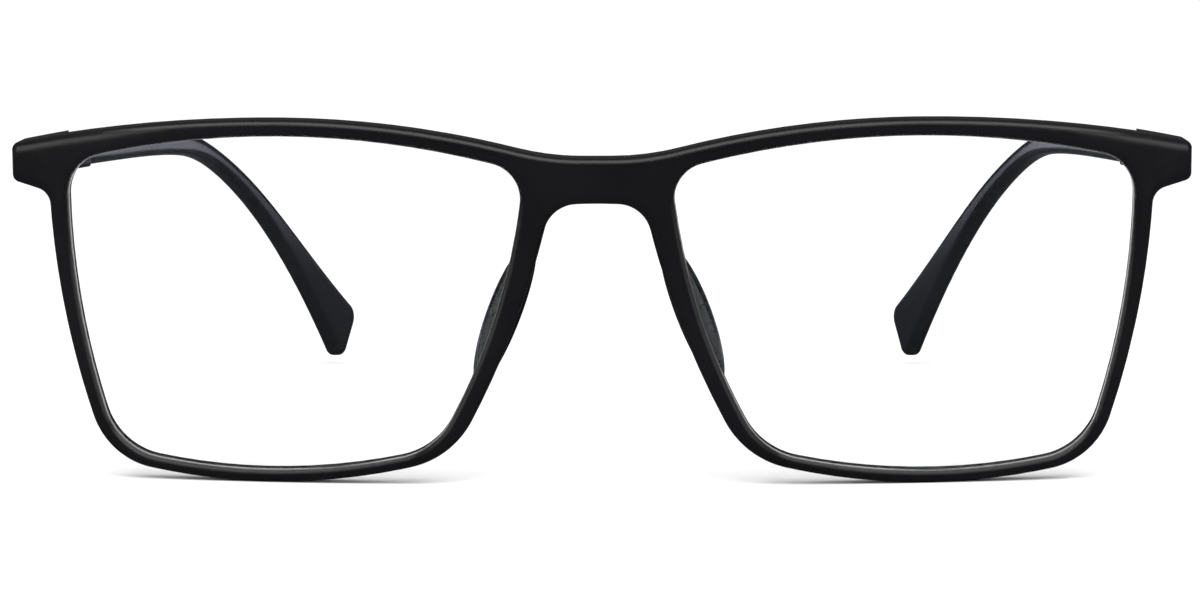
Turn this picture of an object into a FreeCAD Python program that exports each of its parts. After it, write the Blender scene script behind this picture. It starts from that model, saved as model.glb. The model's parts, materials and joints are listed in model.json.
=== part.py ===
"""Full-rim spectacle frame: a black moulded front, two clear lenses and two
temples that fold on spring hinges.

Frame of the part: +X to the wearer's left, -Y the way the wearer looks, +Z up.
It stands on its rims and temple tips at Z = 0, with the origin under the
middle of its bounding box. Everything is laid out about the hinge height
first, from the front of the bridge at Y = 0, and moved to the origin at the end.
"""
import FreeCAD, Part
import math
import os
from FreeCAD import Vector

# Front, seen from the front; heights are measured from the hinge height
FRONT_HALF_WIDTH = 70.0
FACE_RADIUS = 252.0          # the front is bent round the face to this radius
FRONT_THICKNESS = 4.0
PANTOSCOPIC_TILT = 3.0       # degrees: the rim bottoms lean in towards the cheeks
TILT_PIVOT_Y = 8.0
END_PIECE_TOP = 1.15
END_PIECE_FOOT = -3.3
BROW_CREST = (37.0, 4.5)
BRIDGE_TOP = 0.2

# (x, height, corner radius, bow of the side that follows), clockwise
FRONT_CORNERS = [
    (5.9, BRIDGE_TOP, 32.0, "crest"),
    (BROW_CREST[0], BROW_CREST[1], 0.0, "crest"),
    (FRONT_HALF_WIDTH, END_PIECE_TOP, 1.0, 0.0),
    (FRONT_HALF_WIDTH, END_PIECE_FOOT, 1.0, 0.0),
    (65.4, -4.6, 2.0, 1.35),
    (58.8, -36.2, 9.0, 2.85),
    (17.2, -35.1, 11.0, 1.25),
    (5.5, -5.4, 4.0, -0.25),
]
OPENING_CORNERS = [
    (8.6, -1.45, 4.2, 3.7),
    (63.0, -0.9, 5.0, 1.7),
    (57.5, -35.05, 8.0, 2.4),
    (19.3, -34.3, 9.0, 2.0),
]
CROWN_RADIUS = 0.85          # rounding of the rim's front outer edge
BEVEL_RADIUS = 0.45          # rounding of the rim's front inner edge
REAR_RADIUS = 0.35           # rounding of both rear edges

# Lenses, sprung into a groove in each rim
LENS_THICKNESS = 1.6
LENS_SETBACK = 1.45          # from the front of the rim to the front of the lens
LENS_LAP = 0.5               # how far the lens reaches into the groove
GROOVE_PLAY = 0.03

# Nose pads: half of an egg on the back of each nasal rim
PAD_CENTRE = (10.9, -18.6)
PAD_HALF_LENGTH = 9.2
PAD_REACH = 5.6
PAD_HALF_THICKNESS = 1.75
PAD_LEAN = 21.0              # degrees the pad follows the slope of the nose
PAD_SPLAY = 16.0             # degrees the pad opens towards the face

# End pieces and hinges
BUTT_Y = 15.0                # plane where the end piece meets the temple
BUTT_GAP = 0.12
END_BLOCK_INNER = 64.0       # block behind each end piece that carries the hinge
END_BLOCK_FRONT = 11.2
END_BLOCK_DEPTH = 6.5
END_BLOCK_FOOT = -5.5
END_BLOCK_HEIGHT = 9.0
HINGE_X = 65.35
HINGE_Y = 16.3               # the axis the temples fold about
HINGE_MID = -0.9             # height of the middle of the knuckles
KNUCKLE_RADIUS = 1.15
KNUCKLE_STACK = 3.2
EYE_HEIGHT = 1.0
KNUCKLE_PLAY = 0.05
SCREW_RADIUS = 0.5
SCREW_HEAD_RADIUS = 0.9
SCREW_HEAD_HEIGHT = 0.45
LEAF_INNER = 64.35
LEAF_OUTER = 66.4
LEAF_DEPTH = 0.8
TANG_DEPTH = 3.2             # tang that anchors the leaf in the end piece
TANG_WIDTH = 0.8
TANG_HEIGHT = 1.4
DRIVER_SLOT_WIDTH = 0.25
DRIVER_SLOT_DEPTH = 0.2
HEAD_CLEARANCE = 0.02
NECK_WIDTH = 0.9
TEMPLE_TOE_IN = 5.7          # degrees the temples converge behind the hinges

# Spring box on the inner face of each temple, along +Y from the hinge axis
BOX_START = 1.7
BOX_LENGTH = 11.0
BOX_HEIGHT = 2.9
BOX_INNER = -0.62            # faces of the box, across from the hinge axis
BOX_OUTER = 1.75
ROD_OFFSET = 0.55            # the rod runs this far outboard of the hinge axis
ROD_RADIUS = 0.35
ROD_START = 1.5
ROD_LENGTH = 8.9
ROD_END = ROD_START + ROD_LENGTH
BORE_RADIUS = 0.85
BORE_END_WALL = 0.8
BOX_ROUNDING = 0.5
BUSH_START = 2.0
BUSH_LENGTH = 1.6
NUT_LENGTH = 1.0
SPRING_END_GAP = 0.02
SPRING_WIRE = 0.12
SPRING_RADIUS = 0.62
SPRING_TURNS = 7

# Temple outlines: side view (distance behind the bridge, height)
TEMPLE_START = BUTT_Y + BUTT_GAP
TEMPLE_TOP = [(TEMPLE_START, 1.0), (45.0, 1.0), (76.0, 0.2), (96.0, -1.6),
              (112.0, -7.6), (128.0, -17.6), (146.4, -30.8)]
TEMPLE_FOOT = [(TEMPLE_START, -3.5), (24.0, -2.75), (45.0, -2.5), (84.0, -3.3),
               (98.0, -5.0), (110.0, -9.8), (125.0, -20.4), (141.6, -38.7)]
TIP_CORNER_RADII = (2.4, 1.8)
# Plan view (distance behind the bridge, half spacing of the outer faces, thickness)
TEMPLE_PLAN = [(TEMPLE_START, 70.0, 3.3), (41.0, 67.3, 3.1), (84.0, 62.8, 2.7),
               (98.0, 60.8, 2.6), (112.0, 57.0, 2.6), (128.0, 51.6, 2.6), (148.0, 43.9, 2.8)]
TEMPLE_ROUNDING = 0.95

# Core wire inside each temple
WIRE_START = 34.0
WIRE_END = 136.0
WIRE_HALF_HEIGHT = 0.6
WIRE_HALF_WIDTH = 0.4
WIRE_STATIONS = 7

# Reach of the working solids, larger than the frame in every direction
PRISM_START = -5.0
PRISM_DEPTH = 30.0
FACE_FOOT = -80.0
FACE_HEIGHT = 120.0
SIDE_REACH = 100.0
PLAN_FOOT = -60.0
PLAN_HEIGHT = 80.0
ON_FACE = 1e-3
SAME_POINT = 1e-6


def arc_bow(start, end, bow):
    """Length by which the middle of a side stands out; a crest is level at its top."""
    if bow != "crest":
        return bow
    chord = math.dist(start, end)
    half_angle = math.asin(abs(end[1] - start[1]) / chord)
    return chord / (2 * math.sin(half_angle)) * (1 - math.cos(half_angle))


def bowed_edge(start, end, bow):
    """Side of an outline in the XZ plane, bowed to the left of its run."""
    a, b = Vector(start[0], 0, start[1]), Vector(end[0], 0, end[1])
    if not bow:
        return Part.LineSegment(a, b).toShape()
    run = b - a
    left = Vector(-run.z, 0, run.x).normalize()
    return Part.Arc(a, (a + b) / 2 + left * bow, b).toShape()


def rounded_prism(corners, y_start, depth):
    """Prism along Y on a closed outline of bowed sides with rounded corners."""
    edges = []
    for corner, following in zip(corners, corners[1:] + corners[:1]):
        start, end = corner[:2], following[:2]
        edges.append(bowed_edge(start, end, arc_bow(start, end, corner[3])))
    face = Part.Face(Part.Wire(edges))
    face.translate(Vector(0, y_start, 0))
    prism = face.extrude(Vector(0, depth, 0))
    for x, z, radius, _ in corners:
        if radius:
            prism = prism.makeFillet(radius, [edge_along_y(prism, x, z)])
    return prism


def edge_along_y(solid, x, z):
    """The edge of a prism that runs along Y through (x, z)."""
    def distance(edge):
        return max(math.hypot(v.X - x, v.Z - z) for v in edge.Vertexes)
    return min(solid.Edges, key=distance)


def whole_outline(half):
    """A half outline and its mirror image, as one clockwise loop."""
    mirrored = []
    for index in range(len(half) - 1, -1, -1):
        x, z, radius, _ = half[index]
        bow = half[index - 1][3] if index else 0.0
        mirrored.append((-x, z, radius, bow))
    return half + mirrored


def mirrored(shape):
    """The same piece on the wearer's other side."""
    return shape.mirror(Vector(0, 0, 0), Vector(1, 0, 0))


def face_cylinder(setback):
    """Everything behind the curved face of the front, set back by a distance."""
    return Part.makeCylinder(FACE_RADIUS - setback, FACE_HEIGHT, Vector(0, FACE_RADIUS, FACE_FOOT))


def face_shell(near, far):
    """Curved slab between two setbacks from the face of the front."""
    return face_cylinder(near).cut(face_cylinder(far))


def side_circle(start, end, bow):
    """Centre and radius of a bowed side of a clockwise outline."""
    chord = math.dist(start, end)
    radius = (chord ** 2 / 4 + bow ** 2) / (2 * bow)
    inward = (end[1] - start[1]) / chord, (start[0] - end[0]) / chord
    centre = ((start[0] + end[0]) / 2 + inward[0] * (radius - bow),
              (start[1] + end[1]) / 2 + inward[1] * (radius - bow))
    return centre, radius


def circles_meet(first, first_radius, second, second_radius, near):
    """Where two circles cross, on the side of a nearby point."""
    gap = math.dist(first, second)
    along = (gap ** 2 + first_radius ** 2 - second_radius ** 2) / (2 * gap)
    off = math.sqrt(first_radius ** 2 - along ** 2)
    x_run, z_run = (second[0] - first[0]) / gap, (second[1] - first[1]) / gap
    points = [(first[0] + x_run * along - turn * z_run * off,
               first[1] + z_run * along + turn * x_run * off) for turn in (1, -1)]
    return min(points, key=lambda point: math.dist(point, near))


def grown_outline(corners, distance):
    """A clockwise outline of outward-bowed sides, moved outwards by a distance."""
    sides = [side_circle(corner[:2], following[:2], corner[3])
             for corner, following in zip(corners, corners[1:] + corners[:1])]
    points = [circles_meet(sides[index - 1][0], sides[index - 1][1] + distance,
                           sides[index][0], sides[index][1] + distance, corner[:2])
              for index, corner in enumerate(corners)]
    grown = []
    for index, (point, following) in enumerate(zip(points, points[1:] + points[:1])):
        reach = sides[index][1] + distance
        bow = reach - math.sqrt(reach ** 2 - math.dist(point, following) ** 2 / 4)
        grown.append((point[0], point[1], corners[index][2] + distance, bow))
    return grown


def opening_prism(grow=0.0):
    """Prism through one rim opening, grown outwards by a distance."""
    return rounded_prism(grown_outline(OPENING_CORNERS, grow), PRISM_START, PRISM_DEPTH)


def edges_on_face(solid, setback, prisms):
    """Edges of the front that lie on its face at a setback, along the given prisms."""
    found = []
    for edge in solid.Edges:
        mid = edge.valueAt((edge.FirstParameter + edge.LastParameter) / 2)
        off_face = abs(math.hypot(mid.x, mid.y - FACE_RADIUS) - (FACE_RADIUS - setback))
        on_wall = any(wall.distToShape(Part.Vertex(mid))[0] < ON_FACE for wall in prisms)
        if off_face < ON_FACE and on_wall:
            found.append(edge)
    return found


def make_front():
    """Moulded front: rims, bridge and end pieces, grooved for the lenses."""
    outline = rounded_prism(whole_outline(FRONT_CORNERS), PRISM_START, PRISM_DEPTH)
    openings = [opening_prism(), mirrored(opening_prism())]
    slab = outline.common(face_shell(0.0, FRONT_THICKNESS))
    for opening in openings:
        slab = slab.cut(opening)
    outer_walls = [face for face in outline.Faces if abs(face.normalAt(0, 0).y) < 0.5]
    inner_walls = [face for opening in openings for face in opening.Faces
                   if abs(face.normalAt(0, 0).y) < 0.5]
    slab = slab.makeFillet(CROWN_RADIUS, edges_on_face(slab, 0.0, outer_walls))
    slab = slab.makeFillet(BEVEL_RADIUS, edges_on_face(slab, 0.0, inner_walls))
    rear_edges = edges_on_face(slab, FRONT_THICKNESS, outer_walls + inner_walls)
    slab = slab.makeFillet(REAR_RADIUS, rear_edges)
    groove = opening_prism(LENS_LAP + GROOVE_PLAY).common(
        face_shell(LENS_SETBACK - GROOVE_PLAY, LENS_SETBACK + LENS_THICKNESS + GROOVE_PLAY))
    block = outline.common(Part.makeBox(
        FRONT_HALF_WIDTH - END_BLOCK_INNER, END_BLOCK_DEPTH, END_BLOCK_HEIGHT,
        Vector(END_BLOCK_INNER, END_BLOCK_FRONT, END_BLOCK_FOOT)))
    return slab.fuse([block, mirrored(block)]).cut([groove, mirrored(groove)]).removeSplitter()


def make_lens():
    """Lens bent to the same curve as the front, its edge in the groove."""
    return opening_prism(LENS_LAP).common(
        face_shell(LENS_SETBACK, LENS_SETBACK + LENS_THICKNESS))


def tilted(shape):
    """Lean a piece of the front about a line at hinge height."""
    shape = shape.copy()
    shape.rotate(Vector(0, TILT_PIVOT_Y, 0), Vector(1, 0, 0), PANTOSCOPIC_TILT)
    return shape


def make_nose_pad():
    """Half of an egg that stands on the back of the nasal rim."""
    ball = Part.makeSphere(1.0)
    stretch = FreeCAD.Matrix()
    stretch.scale(Vector(PAD_HALF_THICKNESS, PAD_REACH, PAD_HALF_LENGTH))
    egg = ball.transformGeometry(stretch)
    egg.rotate(Vector(0, 0, 0), Vector(0, 0, 1), -PAD_SPLAY)
    egg.rotate(Vector(0, 0, 0), Vector(0, 1, 0), -PAD_LEAN)
    egg.translate(Vector(PAD_CENTRE[0], FRONT_THICKNESS, PAD_CENTRE[1]))
    return egg.common(face_cylinder(FRONT_THICKNESS))


def hinge_cylinder(radius, low, high):
    """Round piece on the hinge axis, between two heights about the hinge's middle."""
    return Part.makeCylinder(radius, high - low, Vector(HINGE_X, HINGE_Y, HINGE_MID + low))


def leaf_body():
    """Plate let into the end piece, with the web and knuckles of the hinge."""
    half = KNUCKLE_STACK / 2
    plate = Part.makeBox(LEAF_OUTER - LEAF_INNER, LEAF_DEPTH, KNUCKLE_STACK,
                         Vector(LEAF_INNER, BUTT_Y - LEAF_DEPTH, HINGE_MID - half))
    tang = Part.makeBox(TANG_WIDTH, TANG_DEPTH, TANG_HEIGHT,
                        Vector(HINGE_X - TANG_WIDTH / 2, BUTT_Y - LEAF_DEPTH - TANG_DEPTH,
                               HINGE_MID - TANG_HEIGHT / 2))
    web = Part.makeBox(2 * KNUCKLE_RADIUS, HINGE_Y - BUTT_Y, KNUCKLE_STACK,
                       Vector(HINGE_X - KNUCKLE_RADIUS, BUTT_Y, HINGE_MID - half))
    return plate.fuse([tang, web, hinge_cylinder(KNUCKLE_RADIUS, -half, half)]).removeSplitter()


def make_hinge_leaf():
    """Two knuckles on a plate, with a gap between them for the eye."""
    half = KNUCKLE_STACK / 2
    slot_half = EYE_HEIGHT / 2 + KNUCKLE_PLAY
    slot = Part.makeBox(2 * KNUCKLE_STACK, KNUCKLE_STACK, 2 * slot_half,
                        Vector(HINGE_X - KNUCKLE_STACK, BUTT_Y, HINGE_MID - slot_half))
    sink = hinge_cylinder(SCREW_HEAD_RADIUS + KNUCKLE_PLAY, half - SCREW_HEAD_HEIGHT, half)
    bore = hinge_cylinder(SCREW_RADIUS + KNUCKLE_PLAY, -half, half)
    return leaf_body().cut([slot, bore, sink])


def make_hinge_screw():
    """Flat-headed screw, its head sunk in the upper knuckle."""
    half = KNUCKLE_STACK / 2
    shank = hinge_cylinder(SCREW_RADIUS, -half, half)
    head = hinge_cylinder(SCREW_HEAD_RADIUS, half - SCREW_HEAD_HEIGHT + HEAD_CLEARANCE, half)
    slot = Part.makeBox(4 * SCREW_HEAD_RADIUS, DRIVER_SLOT_WIDTH, DRIVER_SLOT_DEPTH,
                        Vector(HINGE_X - 2 * SCREW_HEAD_RADIUS, HINGE_Y - DRIVER_SLOT_WIDTH / 2,
                               HINGE_MID + half - DRIVER_SLOT_DEPTH))
    return shank.fuse(head).cut(slot).removeSplitter()


def rod_piece(radius, start, length):
    """Round piece along the temple, measured from the hinge axis."""
    return Part.makeCylinder(radius, length, Vector(HINGE_X + ROD_OFFSET, HINGE_Y + start, HINGE_MID),
                             Vector(0, 1, 0))


def toed_in(shape):
    """Turn a piece about the hinge axis into line with the open temple."""
    shape = shape.copy()
    shape.rotate(Vector(HINGE_X, HINGE_Y, 0), Vector(0, 0, 1), TEMPLE_TOE_IN)
    return shape


def make_hinge_eye():
    """Eye on the hinge screw, with the rod that slides in the spring box."""
    half = EYE_HEIGHT / 2
    ring = hinge_cylinder(KNUCKLE_RADIUS, -half, half)
    neck = Part.makeBox(NECK_WIDTH, BOX_START - BUTT_GAP, EYE_HEIGHT,
                        Vector(HINGE_X + ROD_OFFSET - NECK_WIDTH / 2, HINGE_Y, HINGE_MID - half))
    rod = rod_piece(ROD_RADIUS, ROD_START, ROD_LENGTH)
    bore = hinge_cylinder(SCREW_RADIUS + KNUCKLE_PLAY, -half, half)
    return toed_in(ring.fuse([neck, rod]).cut(bore).removeSplitter())


def make_stop_nut():
    """Collar pressed on the end of the rod, against which the spring pushes."""
    collar = rod_piece(BORE_RADIUS - KNUCKLE_PLAY, ROD_END - NUT_LENGTH, NUT_LENGTH)
    return toed_in(collar.cut(rod_piece(ROD_RADIUS, ROD_END - NUT_LENGTH, NUT_LENGTH)))


def make_guide_bush():
    """Bush in the mouth of the spring box, round the rod."""
    bush = rod_piece(BORE_RADIUS, BUSH_START, BUSH_LENGTH)
    return toed_in(bush.cut(rod_piece(ROD_RADIUS + KNUCKLE_PLAY, BUSH_START, BUSH_LENGTH)))


def make_hinge_spring():
    """Coil spring round the rod, between the bush and the stop nut."""
    start = BUSH_START + BUSH_LENGTH
    clear = SPRING_WIRE + SPRING_END_GAP
    length = ROD_END - NUT_LENGTH - start - 2 * clear
    helix = Part.makeHelix(length / SPRING_TURNS, length, SPRING_RADIUS)
    section = Part.Wire(Part.makeCircle(SPRING_WIRE, Vector(SPRING_RADIUS, 0, 0), Vector(0, 1, 0)))
    coil = Part.Wire(helix).makePipeShell([section], True, True)
    coil.rotate(Vector(0, 0, 0), Vector(1, 0, 0), -90)
    coil.translate(Vector(HINGE_X + ROD_OFFSET, HINGE_Y + start + clear, HINGE_MID))
    return toed_in(coil)


def box_body():
    """Block of the spring housing, its inner edges rounded."""
    body = Part.makeBox(BOX_OUTER - BOX_INNER, BOX_LENGTH, BOX_HEIGHT,
                        Vector(HINGE_X + BOX_INNER, HINGE_Y + BOX_START, HINGE_MID - BOX_HEIGHT / 2))
    inner_corners = [edge for edge in body.Edges
                     if all(vertex.X < HINGE_X + BOX_INNER + SAME_POINT for vertex in edge.Vertexes)]
    return toed_in(body.makeFillet(BOX_ROUNDING, inner_corners))


def make_spring_box():
    """Housing let into the temple's inner face, bored for the rod and spring."""
    bore = rod_piece(BORE_RADIUS, BOX_START, BOX_LENGTH - BORE_END_WALL)
    return box_body().cut(toed_in(bore))


def spline(points):
    """Smooth curve through points."""
    curve = Part.BSplineCurve()
    curve.interpolate(points)
    return curve.toShape()


def side_prism(top, foot):
    """Everything across X between two heights, given by splines along the temple."""
    upper = spline([Vector(0, y, z) for y, z in top])
    lower = spline([Vector(0, y, z) for y, z in foot])
    outline = Part.Wire([upper,
                         Part.makeLine(Vector(0, *top[-1]), Vector(0, *foot[-1])),
                         lower,
                         Part.makeLine(Vector(0, *foot[0]), Vector(0, *top[0]))])
    return Part.Face(outline).extrude(Vector(SIDE_REACH, 0, 0))


def plan_prism(outer, inner):
    """Everything along Z between two half spacings, given by splines along the temple."""
    far = spline([Vector(x, y, PLAN_FOOT) for y, x in outer])
    near = spline([Vector(x, y, PLAN_FOOT) for y, x in inner])
    outline = Part.Wire([far,
                         Part.makeLine(Vector(outer[-1][1], outer[-1][0], PLAN_FOOT),
                                       Vector(inner[-1][1], inner[-1][0], PLAN_FOOT)),
                         near,
                         Part.makeLine(Vector(inner[0][1], inner[0][0], PLAN_FOOT),
                                       Vector(outer[0][1], outer[0][0], PLAN_FOOT))])
    return Part.Face(outline).extrude(Vector(0, 0, PLAN_HEIGHT))


def temple_blank():
    """Temple with rounded edges, before it is cut for the wire and spring box."""
    side = side_prism(TEMPLE_TOP, TEMPLE_FOOT)
    for end, radius in zip((TEMPLE_TOP[-1], TEMPLE_FOOT[-1]), TIP_CORNER_RADII):
        corner = [edge for edge in side.Edges
                  if all(math.dist((v.Y, v.Z), end) < SAME_POINT for v in edge.Vertexes)]
        side = side.makeFillet(radius, corner)
    plan = plan_prism([(y, x) for y, x, _ in TEMPLE_PLAN],
                      [(y, x - thick) for y, x, thick in TEMPLE_PLAN])
    blank = side.common(plan)
    rounded = [edge for edge in blank.Edges
               if not all(abs(v.Y - TEMPLE_START) < SAME_POINT for v in edge.Vertexes)]
    return blank.makeFillet(TEMPLE_ROUNDING, rounded)


def middle_line(points, y):
    """Value at y on straight runs between (y, value) points."""
    for (y0, v0), (y1, v1) in zip(points, points[1:]):
        if y <= y1:
            return v0 + (v1 - v0) * (y - y0) / (y1 - y0)
    return points[-1][1]


def make_core_wire():
    """Flat wire down the middle of the temple, which lets an optician bend it."""
    pitch = (WIRE_END - WIRE_START) / (WIRE_STATIONS - 1)
    stations = [WIRE_START + pitch * step for step in range(WIRE_STATIONS)]
    heights = [(middle_line(TEMPLE_TOP, y) + middle_line(TEMPLE_FOOT, y)) / 2 for y in stations]
    plan_middle = [(y, x - thick / 2) for y, x, thick in TEMPLE_PLAN]
    across = [middle_line(plan_middle, y) for y in stations]
    side = side_prism([(y, z + WIRE_HALF_HEIGHT) for y, z in zip(stations, heights)],
                      [(y, z - WIRE_HALF_HEIGHT) for y, z in zip(stations, heights)])
    plan = plan_prism([(y, x + WIRE_HALF_WIDTH) for y, x in zip(stations, across)],
                      [(y, x - WIRE_HALF_WIDTH) for y, x in zip(stations, across)])
    return side.common(plan)


def make_temple():
    """Temple with room for its core wire and spring box."""
    return temple_blank().cut([make_core_wire(), box_body()])


def single(shape):
    """The one solid of a shape."""
    if len(shape.Solids) != 1:
        raise ValueError("expected one solid, found %d" % len(shape.Solids))
    return shape.Solids[0]


def build():
    """All pieces by node name, laid out about the hinge height."""
    leaf_pocket = leaf_body()
    behind_butt = Part.makeBox(2 * SIDE_REACH, PRISM_DEPTH, FACE_HEIGHT,
                               Vector(-SIDE_REACH, BUTT_Y, FACE_FOOT))
    front = tilted(make_front()).cut([behind_butt, leaf_pocket, mirrored(leaf_pocket)])
    pieces = {"front": front}
    left = {
        "lens": tilted(make_lens()),
        "nose_pad": tilted(make_nose_pad()),
        "hinge_leaf": make_hinge_leaf(),
        "hinge_screw": make_hinge_screw(),
        "hinge_eye": make_hinge_eye(),
        "stop_nut": make_stop_nut(),
        "guide_bush": make_guide_bush(),
        "hinge_spring": make_hinge_spring(),
        "spring_box": make_spring_box(),
        "temple": make_temple(),
        "core_wire": make_core_wire(),
    }
    for name, shape in left.items():
        pieces[name + "_left"] = shape
        pieces[name + "_right"] = mirrored(shape)
    return pieces


def main():
    """Move the pieces to the origin and write one STEP file for each."""
    pieces = build()
    bounds = FreeCAD.BoundBox()
    for shape in pieces.values():
        bounds.add(shape.optimalBoundingBox(False, False))
    to_origin = Vector(0, -(bounds.YMin + bounds.YMax) / 2, -bounds.ZMin)
    os.makedirs("parts", exist_ok=True)
    for name, shape in pieces.items():
        solid = single(shape)
        solid.translate(to_origin)
        solid.exportStep("parts/%s.step" % name)
        print("%-20s %9.2f mm3  valid %s" % (name, solid.Volume, solid.isValid()))
    print("moved to the origin by", tuple(to_origin))
    print("size", bounds.XLength, bounds.YLength, bounds.ZLength)
    axis = Vector(HINGE_X, HINGE_Y, HINGE_MID) + to_origin
    print("left hinge axis at", tuple(axis), "temple direction", TEMPLE_TOE_IN)


if __name__ == "__main__":
    main()
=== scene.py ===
"""Studio scene of a pair of black full-rim spectacles with clear lenses.

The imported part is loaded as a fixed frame. Its pieces keep their shapes and get
finishes here: polished acetate, coated lenses and turned or drawn metal. The
studio is a pale sheet, three soft boxes and a camera that looks slightly down.
Lengths are in metres, +X to the wearer's left, -Y the way the wearer looks.
"""

from __future__ import annotations

import json
import logging
import math
from dataclasses import dataclass, field
from enum import Enum

import bpy
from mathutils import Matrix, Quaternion, Vector

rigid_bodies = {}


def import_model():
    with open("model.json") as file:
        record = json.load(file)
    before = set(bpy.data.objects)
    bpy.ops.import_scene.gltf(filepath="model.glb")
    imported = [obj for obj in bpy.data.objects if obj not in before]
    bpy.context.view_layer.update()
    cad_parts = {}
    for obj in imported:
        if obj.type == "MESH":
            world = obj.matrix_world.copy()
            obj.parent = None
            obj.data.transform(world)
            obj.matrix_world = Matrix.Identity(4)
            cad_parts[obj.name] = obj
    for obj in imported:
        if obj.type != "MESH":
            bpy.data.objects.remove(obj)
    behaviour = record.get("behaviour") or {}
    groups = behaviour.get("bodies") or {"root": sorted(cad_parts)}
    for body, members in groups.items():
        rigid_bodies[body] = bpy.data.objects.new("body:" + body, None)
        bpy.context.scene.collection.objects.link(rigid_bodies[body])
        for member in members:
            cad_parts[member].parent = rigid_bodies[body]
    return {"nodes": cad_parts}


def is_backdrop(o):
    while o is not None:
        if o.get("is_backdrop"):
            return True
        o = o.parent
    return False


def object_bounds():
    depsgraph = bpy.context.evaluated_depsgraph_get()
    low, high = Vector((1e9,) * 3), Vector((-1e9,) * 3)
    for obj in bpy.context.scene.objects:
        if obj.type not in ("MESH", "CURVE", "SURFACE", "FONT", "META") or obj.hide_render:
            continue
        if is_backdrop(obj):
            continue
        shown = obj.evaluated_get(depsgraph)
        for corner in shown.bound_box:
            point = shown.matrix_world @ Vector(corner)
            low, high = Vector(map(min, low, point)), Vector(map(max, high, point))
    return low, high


LOG = logging.getLogger("spectacles")
MILLIMETRE = 0.001
MARK_DEPTH = 0.02 * MILLIMETRE
WEAR_REACH = 0.15 * MILLIMETRE

Colour = tuple[float, float, float]
Point = tuple[float, float, float]


class Side(Enum):
    """The wearer's two sides, by the words that end the pieces' names."""

    LEFT = "left"
    RIGHT = "right"


def rgba(colour: Colour) -> tuple[float, float, float, float]:
    """A colour with full opacity."""
    return (*colour, 1.0)


class Bench:
    """Places shader nodes in one tree and joins them.

    Args:
        tree: The node tree of a material, a world or a group.
    """

    def __init__(self, tree: bpy.types.NodeTree) -> None:
        self.tree = tree
        self.count = 0

    def place(self, kind: str, settings: dict | None = None, **values: object) -> bpy.types.Node:
        """Adds one node.

        Args:
            kind: The node's type name.
            settings: Attributes set on the node before its sockets.
            values: Socket values by name, with spaces written as underscores; an
                output socket given here is joined instead.

        Returns:
            The new node.
        """
        node = self.tree.nodes.new(kind)
        node.location = (180 * (self.count % 8), -220 * (self.count // 8))
        self.count += 1
        for key, setting in (settings or {}).items():
            setattr(node, key, setting)
        for key, value in values.items():
            self.feed(node.inputs[key.replace("_", " ")], value)
        return node

    def feed(self, socket: bpy.types.NodeSocket, value: object) -> None:
        """Joins an output to a socket, or sets the socket's own value.

        Args:
            socket: The input socket.
            value: An output socket, or a plain value.
        """
        if isinstance(value, bpy.types.NodeSocket):
            self.tree.links.new(value, socket)
        else:
            socket.default_value = value

    def blend(self, share: object, first: object, second: object) -> bpy.types.NodeSocket:
        """Colour between two colours.

        Args:
            share: How much of the second colour shows, as a socket or number.
            first: The first colour.
            second: The second colour.

        Returns:
            The blended colour's socket.
        """
        node = self.place("ShaderNodeMix", {"data_type": "RGBA"})
        for name, value in (("Factor_Float", share), ("A_Color", first), ("B_Color", second)):
            socket = next(s for s in node.inputs if s.identifier == name)
            self.feed(socket, value)
        return next(s for s in node.outputs if s.identifier == "Result_Color")

    def sum(self, operation: str, *terms: object) -> bpy.types.NodeSocket:
        """Arithmetic on numbers.

        Args:
            operation: The math node's operation.
            terms: Its terms, as sockets or numbers.

        Returns:
            The result's socket.
        """
        node = self.place("ShaderNodeMath", {"operation": operation})
        for socket, term in zip(node.inputs, terms):
            self.feed(socket, term)
        return node.outputs[0]

    def ramp(self, value: object, low: float, high: float, to_low: float, to_high: float
             ) -> bpy.types.NodeSocket:
        """Carries a number from one range smoothly to another.

        Args:
            value: The number.
            low: Start of the range it is in.
            high: End of that range.
            to_low: Result at the start.
            to_high: Result at the end.

        Returns:
            The result's socket.
        """
        node = self.place("ShaderNodeMapRange", {"interpolation_type": "SMOOTHSTEP"}, Value=value,
                          From_Min=low, From_Max=high, To_Min=to_low, To_Max=to_high)
        return node.outputs[0]


class SharedEffect:
    """A surface effect that several finishes use, as one shader group.

    Args:
        name: The group's name.
        inputs: Input names and their usual values.
        outputs: Output names.
    """

    def __init__(self, name: str, inputs: dict[str, float], outputs: tuple[str, ...]) -> None:
        self.tree = bpy.data.node_groups.new(name, "ShaderNodeTree")
        for key, usual in inputs.items():
            socket = self.tree.interface.new_socket(key, in_out="INPUT", socket_type="NodeSocketFloat")
            socket.default_value = usual
        for key in outputs:
            self.tree.interface.new_socket(key, in_out="OUTPUT", socket_type="NodeSocketFloat")
        self.bench = Bench(self.tree)
        self.given = self.bench.place("NodeGroupInput").outputs
        self.result = self.bench.place("NodeGroupOutput").inputs

    def here(self, bench: Bench, **values: float) -> bpy.types.Node:
        """Places the effect in a material with that material's own values."""
        return bench.place("ShaderNodeGroup", {"node_tree": self.tree}, **values)


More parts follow.
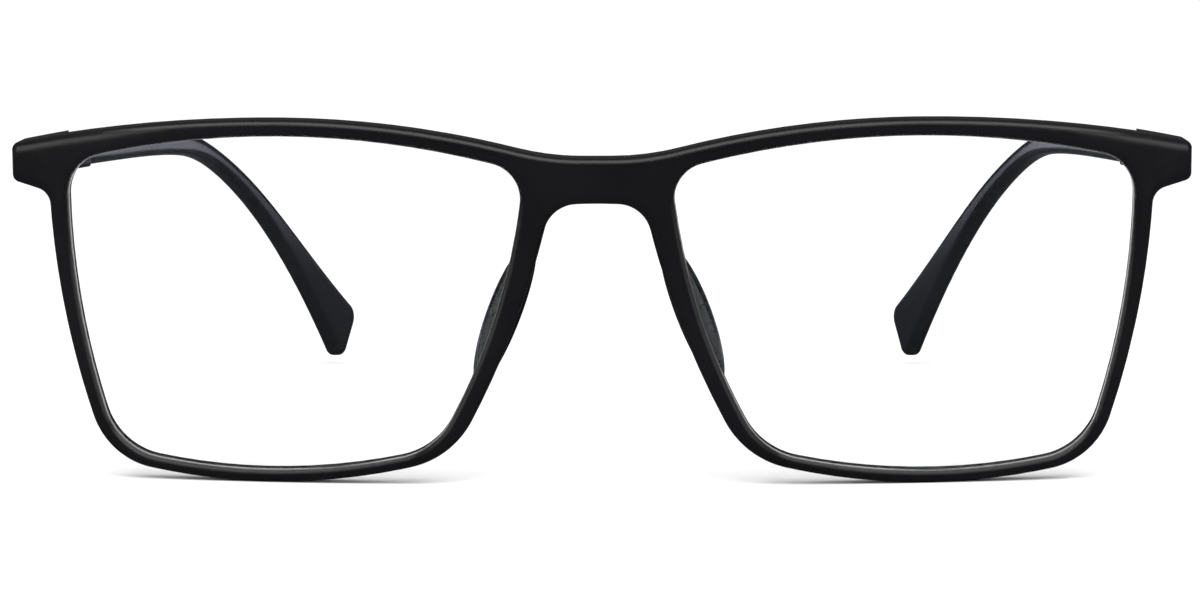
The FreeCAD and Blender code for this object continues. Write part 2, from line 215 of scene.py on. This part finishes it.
class Effects:
    """The shared effects, each built once."""

    def __init__(self) -> None:
        self.cloud = self._cloud()
        self.marks = self._marks()
        self.wear = self._wear()
        self.dust = self._dust()

    @staticmethod
    def _scaled_place(bench: Bench, scale: object) -> bpy.types.NodeSocket:
        """Object coordinates multiplied by a scale.

        Args:
            bench: The tree to work in.
            scale: Waves for each metre, as a socket or number.

        Returns:
            The coordinates' socket.
        """
        place = bench.place("ShaderNodeTexCoord").outputs["Object"]
        node = bench.place("ShaderNodeVectorMath", {"operation": "SCALE"})
        bench.feed(node.inputs[0], place)
        bench.feed(node.inputs["Scale"], scale)
        return node.outputs[0]

    def _cloud(self) -> SharedEffect:
        """Slow drift of shade, as in a sheet of cast plastic or rolled metal."""
        effect = SharedEffect("material_cloud", {"Scale": 60.0, "Contrast": 1.0}, ("Shade", "Speck"))
        bench = effect.bench
        place = self._scaled_place(bench, effect.given["Scale"])
        slow = bench.place("ShaderNodeTexNoise", Vector=place, Scale=1.0, Detail=3.0).outputs[0]
        fine = bench.place("ShaderNodeTexNoise", Vector=place, Scale=17.0, Detail=2.0).outputs[0]
        centred = bench.sum("SUBTRACT", slow, 0.5)
        bench.feed(effect.result["Shade"],
                   bench.sum("MULTIPLY_ADD", centred, effect.given["Contrast"], 0.5))
        bench.feed(effect.result["Speck"], bench.ramp(fine, 0.62, 0.74, 0.0, 1.0))
        return effect

    def _marks(self) -> SharedEffect:
        """Hair-fine marks left by polishing, turning or drawing."""
        effect = SharedEffect("working_marks", {"Scale": 2400.0, "Reach": 0.5}, ("Height", "Dulled"))
        bench = effect.bench
        place = self._scaled_place(bench, effect.given["Scale"])
        warped = bench.place("ShaderNodeTexNoise", Vector=place, Scale=0.21, Detail=4.0,
                             Distortion=0.6).outputs[0]
        hair = bench.place("ShaderNodeTexNoise", Vector=place, Scale=1.0, Detail=2.0).outputs[0]
        crossing = bench.sum("MULTIPLY", warped, hair)
        bench.feed(effect.result["Height"], bench.ramp(crossing, 0.12, 0.42, 0.0, 1.0))
        rubbed = bench.ramp(warped, 0.42, 0.68, 0.0, 1.0)
        bench.feed(effect.result["Dulled"], bench.sum("MULTIPLY", rubbed, effect.given["Reach"]))
        return effect

    @staticmethod
    def _wear() -> SharedEffect:
        """Where handling has worked on the outer edges."""
        effect = SharedEffect("edge_wear", {"Start": 0.03, "Full": 0.2}, ("Mask",))
        bench = effect.bench
        eased = bench.place("ShaderNodeBevel", {"samples": 4}, Radius=WEAR_REACH).outputs[0]
        true = bench.place("ShaderNodeNewGeometry").outputs["Normal"]
        likeness = bench.place("ShaderNodeVectorMath", {"operation": "DOT_PRODUCT"})
        bench.feed(likeness.inputs[0], eased)
        bench.feed(likeness.inputs[1], true)
        turned = bench.sum("SUBTRACT", 1.0, likeness.outputs["Value"])
        node = bench.place("ShaderNodeMapRange", {"interpolation_type": "SMOOTHSTEP"}, Value=turned,
                           From_Min=effect.given["Start"], From_Max=effect.given["Full"])
        broken = bench.place("ShaderNodeTexNoise", Vector=Effects._scaled_place(bench, 900.0),
                             Scale=1.0, Detail=3.0).outputs[0]
        bench.feed(effect.result["Mask"],
                   bench.sum("MULTIPLY", node.outputs[0], bench.ramp(broken, 0.38, 0.66, 0.0, 1.0)))
        return effect

    @staticmethod
    def _dust() -> SharedEffect:
        """Sparse specks of dust on faces that look up."""
        effect = SharedEffect("settled_dust", {"Scale": 700.0, "Amount": 0.5}, ("Mask",))
        bench = effect.bench
        place = Effects._scaled_place(bench, effect.given["Scale"])
        cell = bench.place("ShaderNodeTexVoronoi", Vector=place, Scale=1.0).outputs["Distance"]
        speck = bench.ramp(cell, 0.05, 0.11, 1.0, 0.0)
        normal = bench.place("ShaderNodeNewGeometry").outputs["Normal"]
        up = bench.place("ShaderNodeSeparateXYZ", Vector=normal).outputs["Z"]
        upward = bench.ramp(up, 0.1, 0.8, 0.0, 1.0)
        settled = bench.sum("MULTIPLY", speck, upward)
        bench.feed(effect.result["Mask"], bench.sum("MULTIPLY", settled, effect.given["Amount"]))
        return effect


def blank_material(name: str) -> tuple[bpy.types.Material, Bench, bpy.types.Node]:
    """A material with only its principled shader and output.

    Args:
        name: The material's name.

    Returns:
        The material, a bench on its tree and the shader node.
    """
    material = bpy.data.materials.new(name)
    material.use_nodes = True
    material.node_tree.nodes.clear()
    bench = Bench(material.node_tree)
    output = bench.place("ShaderNodeOutputMaterial")
    shader = bench.place("ShaderNodeBsdfPrincipled")
    bench.feed(output.inputs["Surface"], shader.outputs[0])
    return material, bench, shader


@dataclass(frozen=True)
class PolishedAcetate:
    """Black cellulose acetate, tumbled and polished."""

    name: str
    deep: Colour = (0.0022, 0.0022, 0.0025)
    warm: Colour = (0.0062, 0.0058, 0.0066)
    worn: Colour = (0.016, 0.016, 0.018)
    dusty: Colour = (0.09, 0.09, 0.1)
    roughness: float = 0.13
    dulled: float = 0.05
    easing: float = 1.1 * MILLIMETRE
    mark_scale: float = 2600.0
    bump: float = 0.012
    index: float = 1.49

    def make(self, effects: Effects) -> bpy.types.Material:
        """Builds the material.

        Args:
            effects: The shared effects.

        Returns:
            The finished material.
        """
        material, bench, shader = blank_material(self.name)
        cloud = effects.cloud.here(bench, Scale=55.0, Contrast=1.6)
        marks = effects.marks.here(bench, Scale=self.mark_scale, Reach=1.0)
        wear = effects.wear.here(bench, Start=0.04, Full=0.3)
        dust = effects.dust.here(bench, Scale=420.0, Amount=0.12)
        body = bench.blend(cloud.outputs["Shade"], rgba(self.deep), rgba(self.warm))
        handled = bench.blend(wear.outputs["Mask"], body, rgba(self.worn))
        dusted = bench.blend(dust.outputs["Mask"], handled, rgba(self.dusty))
        bench.feed(shader.inputs["Base Color"], dusted)
        rubbed = bench.sum("MULTIPLY_ADD", marks.outputs["Dulled"], self.dulled, self.roughness)
        bench.feed(shader.inputs["Roughness"],
                   bench.sum("MULTIPLY_ADD", dust.outputs["Mask"], 0.4, rubbed))
        eased = bench.place("ShaderNodeBevel", {"samples": 8}, Radius=self.easing)
        bump = bench.place("ShaderNodeBump", Strength=self.bump, Distance=MARK_DEPTH,
                           Height=marks.outputs["Height"], Normal=eased.outputs[0])
        bench.feed(shader.inputs["Normal"], bump.outputs[0])
        shader.inputs["IOR"].default_value = self.index
        return material


@dataclass(frozen=True)
class ClearLens:
    """Clear organic lens, coated on both faces and ground matt round its edge."""

    name: str
    body: Colour = (0.985, 1.0, 0.995)
    ground_edge: Colour = (0.60, 0.74, 0.72)
    coating: Colour = (0.04, 0.07, 0.085)
    dusty: Colour = (0.8, 0.8, 0.8)
    edge_roughness: float = 0.42
    smear_roughness: float = 0.002
    index: float = 1.5

    def make(self, effects: Effects) -> bpy.types.Material:
        """Builds the material.

        Args:
            effects: The shared effects.

        Returns:
            The finished material.
        """
        material, bench, shader = blank_material(self.name)
        normal = bench.place("ShaderNodeNewGeometry").outputs["Normal"]
        facing = bench.place("ShaderNodeSeparateXYZ", Vector=normal).outputs["Y"]
        edge = bench.ramp(bench.sum("ABSOLUTE", facing), 0.35, 0.6, 1.0, 0.0)
        smear = effects.cloud.here(bench, Scale=140.0, Contrast=1.4).outputs["Shade"]
        dust = effects.dust.here(bench, Scale=260.0, Amount=0.04).outputs["Mask"]
        tint = bench.blend(edge, rgba(self.body), rgba(self.ground_edge))
        bench.feed(shader.inputs["Base Color"], bench.blend(dust, tint, rgba(self.dusty)))
        hazy = bench.sum("MULTIPLY", bench.ramp(smear, 0.5, 0.85, 0.0, 1.0), self.smear_roughness)
        bench.feed(shader.inputs["Roughness"],
                   bench.sum("MULTIPLY_ADD", edge, self.edge_roughness, hazy))
        shader.inputs["IOR"].default_value = self.index
        shader.inputs["Specular Tint"].default_value = rgba(self.coating)
        shader.inputs["Transmission Weight"].default_value = 1.0
        return material


@dataclass(frozen=True)
class WorkedMetal:
    """Small metal piece with the marks of its making."""

    name: str
    bright: Colour
    dull: Colour
    roughness: float = 0.24
    dulled: float = 0.14
    mark_scale: float = 5200.0
    bump: float = 0.12
    rubbed: Colour = (0.86, 0.85, 0.84)

    def make(self, effects: Effects) -> bpy.types.Material:
        """Builds the material.

        Args:
            effects: The shared effects.

        Returns:
            The finished material.
        """
        material, bench, shader = blank_material(self.name)
        cloud = effects.cloud.here(bench, Scale=420.0, Contrast=1.5)
        marks = effects.marks.here(bench, Scale=self.mark_scale, Reach=1.0)
        wear = effects.wear.here(bench, Start=0.03, Full=0.2)
        body = bench.blend(cloud.outputs["Shade"], rgba(self.dull), rgba(self.bright))
        bench.feed(shader.inputs["Base Color"],
                   bench.blend(wear.outputs["Mask"], body, rgba(self.rubbed)))
        worked = bench.sum("MULTIPLY_ADD", marks.outputs["Dulled"], self.dulled, self.roughness)
        bench.feed(shader.inputs["Roughness"],
                   bench.sum("MULTIPLY_ADD", cloud.outputs["Speck"], 0.12, worked))
        bump = bench.place("ShaderNodeBump", Strength=self.bump, Distance=MARK_DEPTH,
                           Height=marks.outputs["Height"])
        bench.feed(shader.inputs["Normal"], bump.outputs[0])
        shader.inputs["Metallic"].default_value = 1.0
        return material


def dress(nodes: dict[str, bpy.types.Object], name: str, material: bpy.types.Material) -> None:
    """Gives a piece of the part its finish.

    Args:
        nodes: The part's objects by name.
        name: The piece's name.
        material: Its finish.
    """
    piece = nodes[name]
    if not piece.material_slots:
        piece.data.materials.append(material)
    for slot in piece.material_slots:
        slot.material = material
    LOG.info("%s: %s", name, material.name)


@dataclass
class Front:
    """Rims, bridge and end pieces in one moulding, with its lenses and nose pads."""

    moulding: PolishedAcetate = PolishedAcetate("front_acetate")
    pads: PolishedAcetate = PolishedAcetate("pad_acetate", roughness=0.2, dulled=0.1,
                                            easing=0.3 * MILLIMETRE)
    glazing: ClearLens = ClearLens("lens_clear")

    def finish(self, nodes: dict[str, bpy.types.Object], effects: Effects) -> None:
        """Dresses the front, the lenses and the pads.

        Args:
            nodes: The part's objects by name.
            effects: The shared effects.
        """
        dress(nodes, "front", self.moulding.make(effects))
        lens, pad = self.glazing.make(effects), self.pads.make(effects)
        for side in Side:
            dress(nodes, f"lens_{side.value}", lens)
            dress(nodes, f"nose_pad_{side.value}", pad)


@dataclass
class SpringHinge:
    """Leaf, screw, sliding eye and spring that join a temple to the front."""

    finishes: dict[str, WorkedMetal] = field(default_factory=lambda: {
        "hinge_leaf": WorkedMetal("leaf_nickel_silver", (0.62, 0.60, 0.57), (0.44, 0.43, 0.42)),
        "hinge_screw": WorkedMetal("screw_steel", (0.70, 0.70, 0.72), (0.52, 0.52, 0.54), 0.16),
        "hinge_eye": WorkedMetal("eye_steel", (0.60, 0.60, 0.62), (0.45, 0.45, 0.47), 0.2),
        "stop_nut": WorkedMetal("nut_brass", (0.80, 0.62, 0.30), (0.58, 0.42, 0.20)),
        "guide_bush": WorkedMetal("bush_brass", (0.84, 0.66, 0.34), (0.62, 0.46, 0.22)),
        "hinge_spring": WorkedMetal("spring_wire", (0.50, 0.50, 0.54), (0.34, 0.34, 0.38), 0.28),
        "spring_box": WorkedMetal("box_black_nickel", (0.05, 0.05, 0.055), (0.03, 0.03, 0.033), 0.3),
    })

    def finish(self, nodes: dict[str, bpy.types.Object], effects: Effects) -> None:
        """Dresses both hinges.

        Args:
            nodes: The part's objects by name.
            effects: The shared effects.
        """
        for piece, metal in self.finishes.items():
            material = metal.make(effects)
            for side in Side:
                dress(nodes, f"{piece}_{side.value}", material)


@dataclass
class Temples:
    """The two temples and the wires that stiffen them."""

    arm: PolishedAcetate = PolishedAcetate("temple_acetate", roughness=0.15, dulled=0.07,
                                           easing=0.6 * MILLIMETRE)
    core: WorkedMetal = WorkedMetal("core_wire", (0.60, 0.60, 0.60), (0.46, 0.46, 0.46))

    def finish(self, nodes: dict[str, bpy.types.Object], effects: Effects) -> None:
        """Dresses the temples and their wires.

        Args:
            nodes: The part's objects by name.
            effects: The shared effects.
        """
        arm, core = self.arm.make(effects), self.core.make(effects)
        for side in Side:
            dress(nodes, f"temple_{side.value}", arm)
            dress(nodes, f"core_wire_{side.value}", core)


@dataclass(frozen=True)
class SoftBox:
    """A rectangular light that faces the middle of the part."""

    name: str
    place: Point
    width: float
    height: float
    brightness: float
    colour: Colour = (1.0, 1.0, 1.0)

    def hang(self, aim: Vector) -> bpy.types.Object:
        """Makes the light.

        Args:
            aim: The point it faces.

        Returns:
            The light's object.
        """
        lamp = bpy.data.lights.new(self.name, "AREA")
        lamp.shape = "RECTANGLE"
        lamp.size, lamp.size_y = self.width, self.height
        lamp.energy = self.brightness * math.pi * self.width * self.height
        lamp.color = self.colour
        box = bpy.data.objects.new(self.name, lamp)
        box.location = aim + Vector(self.place)
        box.rotation_mode = "QUATERNION"
        box.rotation_quaternion = (-Vector(self.place)).to_track_quat("-Z", "Y")
        box.visible_camera = False
        bpy.context.scene.collection.objects.link(box)
        return box


@dataclass
class Studio:
    """Pale sheet, soft light and camera."""

    floor_reach: float = 4.0
    floor_drop: float = 0.02 * MILLIMETRE
    paper: Colour = (0.93, 0.93, 0.935)
    fibre: Colour = (0.88, 0.88, 0.885)
    # Painted reflection: the sheet's colour in reflections only, a dark sheet near the part and a
    # bright lavender sheet behind it.
    painted_near_paper_reflection: Colour = (0.05, 0.05, 0.055)
    painted_far_paper_reflection: Colour = (0.46, 0.45, 0.56)
    room_low: Colour = (0.045, 0.045, 0.05)
    room_high: Colour = (0.16, 0.16, 0.165)
    background: float = 1.05
    ambient: float = 1.12
    camera_distance: float = 0.400
    camera_height: float = 0.05621
    camera_side: float = 0.01141
    aim_height: float = 0.022056
    aim_side: float = 0.00033
    roll: float = math.radians(-0.153)
    lens: float = 103.84
    sensor: float = 36.0
    boxes: tuple[SoftBox, ...] = (
        SoftBox("overhead_box", (0.0, -0.36, 0.50), 0.90, 0.36, 2.6),
        SoftBox("left_box", (0.56, -0.48, 0.16), 0.34, 0.36, 1.5, (0.97, 0.98, 1.0)),
        SoftBox("right_box", (-0.56, -0.48, 0.16), 0.34, 0.36, 1.5, (1.0, 0.99, 0.98)),
    )

    def paper_material(self) -> bpy.types.Material:
        """The sheet's matt paper, with painted reflections: in reflections only it shows as a dark
        sheet near the part and a bright lavender sheet further back.

        Returns:
            The finished material.
        """
        material, bench, shader = blank_material("pale_paper_and_painted_reflection")
        place = bench.place("ShaderNodeTexCoord").outputs["Object"]
        fibre = bench.place("ShaderNodeTexNoise", Vector=place, Scale=900.0, Detail=3.0).outputs[0]
        depth = bench.place("ShaderNodeSeparateXYZ", Vector=place).outputs["Y"]
        # Painted reflection: share of the bright lavender reflection colour, rising with distance
        # behind the part.
        painted_reflection_far_share = bench.ramp(depth, 0.2, 0.45, 0.0, 1.0)
        in_gloss = bench.blend(painted_reflection_far_share, rgba(self.painted_near_paper_reflection), rgba(self.painted_far_paper_reflection))
        path = bench.place("ShaderNodeLightPath")
        sheet = bench.blend(bench.ramp(fibre, 0.3, 0.7, 0.0, 0.04), rgba(self.paper),
                            rgba(self.fibre))
        # Glossy rays that are not transmission rays see the painted reflection colours instead of the
        # paper.
        glossy = bench.sum("MULTIPLY", path.outputs["Is Glossy Ray"],
                           bench.sum("SUBTRACT", 1.0, path.outputs["Is Transmission Ray"]))
        bench.feed(shader.inputs["Base Color"], bench.blend(glossy, sheet, in_gloss))
        shader.inputs["Roughness"].default_value = 0.9
        shader.inputs["Specular IOR Level"].default_value = 0.0
        return material

    def lay_floor(self) -> bpy.types.Object:
        """Lays the sheet the part stands on.

        Returns:
            The sheet's object.
        """
        reach, low = self.floor_reach, -self.floor_drop
        mesh = bpy.data.meshes.new("floor_sheet")
        mesh.from_pydata([(-reach, -reach, low), (reach, -reach, low),
                          (reach, reach, low), (-reach, reach, low)], [], [(0, 1, 2, 3)])
        mesh.materials.append(self.paper_material())
        floor = bpy.data.objects.new("floor_sheet", mesh)
        bpy.context.scene.collection.objects.link(floor)
        floor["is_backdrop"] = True
        return floor

    def light_room(self, aim: Vector) -> None:
        """Hangs the soft boxes and sets the light of the room.

        Args:
            aim: The point the boxes face.
        """
        for box in self.boxes:
            box.hang(aim)
        world = bpy.data.worlds.new("studio_room")
        bpy.context.scene.world = world
        world.use_nodes = True
        world.cycles.sampling_method = "NONE"
        world.node_tree.nodes.clear()
        bench = Bench(world.node_tree)
        path = bench.place("ShaderNodeLightPath")
        direction = bench.place("ShaderNodeTexCoord").outputs["Generated"]
        rise = bench.place("ShaderNodeSeparateXYZ", Vector=direction).outputs["Z"]
        in_gloss = bench.blend(bench.ramp(rise, 0.0, 1.0, 0.0, 1.0), rgba(self.room_low),
                               rgba(self.room_high))
        seen = bench.sum("MAXIMUM", path.outputs["Is Camera Ray"], path.outputs["Is Transmission Ray"])
        unseen = bench.blend(path.outputs["Is Glossy Ray"], rgba((self.ambient,) * 3), in_gloss)
        colour = bench.blend(seen, unseen, rgba((self.background,) * 3))
        glow = bench.place("ShaderNodeBackground", Color=colour, Strength=1.0)
        output = bench.place("ShaderNodeOutputWorld")
        bench.feed(output.inputs["Surface"], glow.outputs[0])

    def place_camera(self, face: float) -> bpy.types.Object:
        """Places the camera before the part.

        Args:
            face: Y of the foremost point of the part.

        Returns:
            The camera.
        """
        optics = bpy.data.cameras.new("studio_camera")
        optics.lens, optics.sensor_width = self.lens, self.sensor
        optics.sensor_fit = "HORIZONTAL"
        optics.clip_start, optics.clip_end = 0.01, 50.0
        camera = bpy.data.objects.new("studio_camera", optics)
        camera.location = (self.camera_side, face - self.camera_distance, self.camera_height)
        line = Vector((self.aim_side, face, self.aim_height)) - camera.location
        camera.rotation_mode = "QUATERNION"
        camera.rotation_quaternion = (line.to_track_quat("-Z", "Y")
                                      @ Quaternion((0.0, 0.0, 1.0), self.roll))
        bpy.context.scene.collection.objects.link(camera)
        bpy.context.scene.camera = camera
        return camera

    def set_up(self, low: Vector, high: Vector) -> None:
        """Builds the whole studio round the part.

        Args:
            low: The part's lowest corner.
            high: The part's highest corner.
        """
        bpy.context.scene.view_settings.view_transform = "Standard"
        LOG.info("floor: %s", self.lay_floor().name)
        self.light_room((low + high) / 2)
        LOG.info("camera: %s", self.place_camera(low.y).name)


def clear_start() -> None:
    """Removes whatever the empty file began with."""
    for thing in list(bpy.data.objects):
        bpy.data.objects.remove(thing, do_unlink=True)


def main() -> None:
    """Loads the part, dresses it and sets up the studio."""
    logging.basicConfig(level=logging.INFO, format="%(name)s %(message)s")
    clear_start()
    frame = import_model()
    cad_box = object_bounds()
    nodes = frame["nodes"]
    effects = Effects()
    for assembly in (Front(), SpringHinge(), Temples()):
        assembly.finish(nodes, effects)
        LOG.info("%s done", type(assembly).__name__)
    Studio().set_up(*cad_box)


if __name__ == "__main__":
    main()
